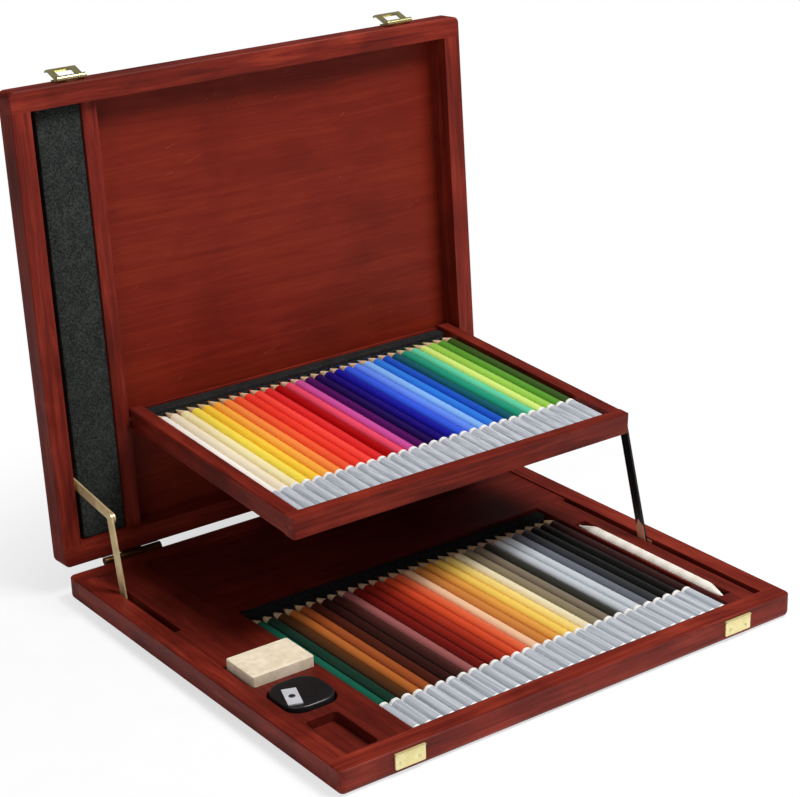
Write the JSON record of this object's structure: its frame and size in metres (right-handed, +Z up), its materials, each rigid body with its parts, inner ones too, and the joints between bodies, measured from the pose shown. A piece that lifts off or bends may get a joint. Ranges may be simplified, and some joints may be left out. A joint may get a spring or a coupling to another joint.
{
  "type": "pencil case",
  "caption": "Hinged wooden pencil case standing open, with a lift-up pencil tray on the lid, a folding stay, clasps and small tools in the base.",
  "frame": {"origin": "centre of the underside of the base", "axes": "+Z up, +Y to the hinged back, +X to the right seen from the front"},
  "size_m": [0.34, 0.3543, 0.3344],
  "materials": {
    "black_metal": "satin black",
    "blade_steel": "brushed",
    "board_wood": "stained and lacquered",
    "brass_fitting": "polished",
    "brass_pin": "polished",
    "copper_metal": "satin copper",
    "eraser_rubber": "matt",
    "lower_pencil_paint": "glossy paint in many colours",
    "pad_foam": "matt, open cells",
    "panel_wood": "stained and lacquered",
    "rail_wood": "stained and lacquered",
    "sharpener_plastic": "gloss",
    "stump_paper": "rolled paper",
    "tip_foam": "matt",
    "upper_pencil_paint": "glossy paint in many colours"
  },
  "bodies": {
    "base": {"base_floor_panel": "panel_wood", "base_front_rail": "rail_wood", "base_front_strip": "board_wood", "base_hinge_leaf_left": "brass_fitting", "base_hinge_leaf_right": "brass_fitting", "base_left_board": "board_wood", "base_left_rail": "rail_wood", "base_pencil_bed": "board_wood", "base_rear_board": "board_wood", "base_rear_rail": "rail_wood", "base_right_board": "board_wood", "base_right_rail": "rail_wood", "base_tip_foam": "tip_foam", "base_tool_board": "board_wood", "lower_pencils": "lower_pencil_paint", "eraser": "eraser_rubber", "sharpener_body": "sharpener_plastic", "sharpener_blade": "blade_steel", "sharpener_screw": "blade_steel", "paper_stump": "stump_paper", "hinge_pin_left": "brass_fitting", "hinge_pin_right": "brass_fitting", "catch_plate_left": "brass_fitting", "catch_plate_right": "brass_fitting", "stay_plate_base": "brass_fitting", "arm_pivot_plate": "copper_metal"},
    "lid": {"lid_divider": "rail_wood", "lid_foam_pad": "pad_foam", "lid_front_rail": "rail_wood", "lid_hinge_leaf_left": "brass_fitting", "lid_hinge_leaf_right": "brass_fitting", "lid_left_rail": "rail_wood", "lid_panel": "panel_wood", "lid_rear_rail": "rail_wood", "lid_right_rail": "rail_wood", "tray_pivot_left": "brass_pin", "tray_pivot_right": "brass_pin", "clasp_plate_left": "brass_fitting", "clasp_plate_right": "brass_fitting", "stay_plate_lid": "brass_fitting"},
    "tray": {"tray_front_rail": "rail_wood", "tray_left_rail": "rail_wood", "tray_right_rail": "rail_wood", "tray_rear_rail": "rail_wood", "tray_floor": "panel_wood", "upper_pencils": "upper_pencil_paint", "tray_tip_foam": "tip_foam", "tray_arm_stud": "black_metal"},
    "arm": {"tray_arm": "black_metal", "arm_foot": "copper_metal"},
    "stay_lower": {"stay_lower_link": "brass_fitting"},
    "stay_upper": {"stay_upper_link": "brass_fitting"},
    "clasp_left": {"clasp_flap_left": "brass_fitting"},
    "clasp_right": {"clasp_flap_right": "brass_fitting"}
  },
  "joints": [
    {"name": "lid_hinge", "type": "hinge", "parent": "base", "child": "lid", "pos_m": [0, 0.158, 0.0162], "axis": [1, 0, 0], "range_deg": [0, 93]},
    {"name": "tray_pivot", "type": "hinge", "parent": "lid", "child": "tray", "pos_m": [0, 0.17052, 0.10417], "axis": [1, 0, 0], "range_deg": [-96.6, 0]},
    {"name": "arm_pivot", "type": "hinge", "parent": "base", "child": "arm", "pos_m": [0.1542, -0.03622, 0.01124], "axis": [1, 0, 0], "range_deg": [0, 99.2]},
    {"name": "stay_lower_pivot", "type": "hinge", "parent": "base", "child": "stay_lower", "pos_m": [-0.1554, 0.108, 0.0092], "axis": [1, 0, 0], "range_deg": [0, 93.2]},
    {"name": "stay_upper_pivot", "type": "hinge", "parent": "lid", "child": "stay_upper", "pos_m": [-0.1554, 0.16892, 0.0717], "axis": [1, 0, 0], "range_deg": [-93.2, 0]},
    {"name": "clasp_left_hinge", "type": "hinge", "parent": "lid", "child": "clasp_left", "pos_m": [-0.124, 0.18119, 0.33062], "axis": [1, 0, 0], "range_deg": [0, 158]},
    {"name": "clasp_right_hinge", "type": "hinge", "parent": "lid", "child": "clasp_right", "pos_m": [0.124, 0.18119, 0.33062], "axis": [1, 0, 0], "range_deg": [0, 158]}
  ],
  "couplings": [
    {"joint": "tray_pivot", "follows": "lid_hinge", "ratio": -1.0366},
    {"joint": "arm_pivot", "follows": "lid_hinge", "ratio": 1.0645},
    {"joint": "stay_lower_pivot", "follows": "lid_hinge", "ratio": 1},
    {"joint": "stay_upper_pivot", "follows": "lid_hinge", "ratio": -1}
  ]
}
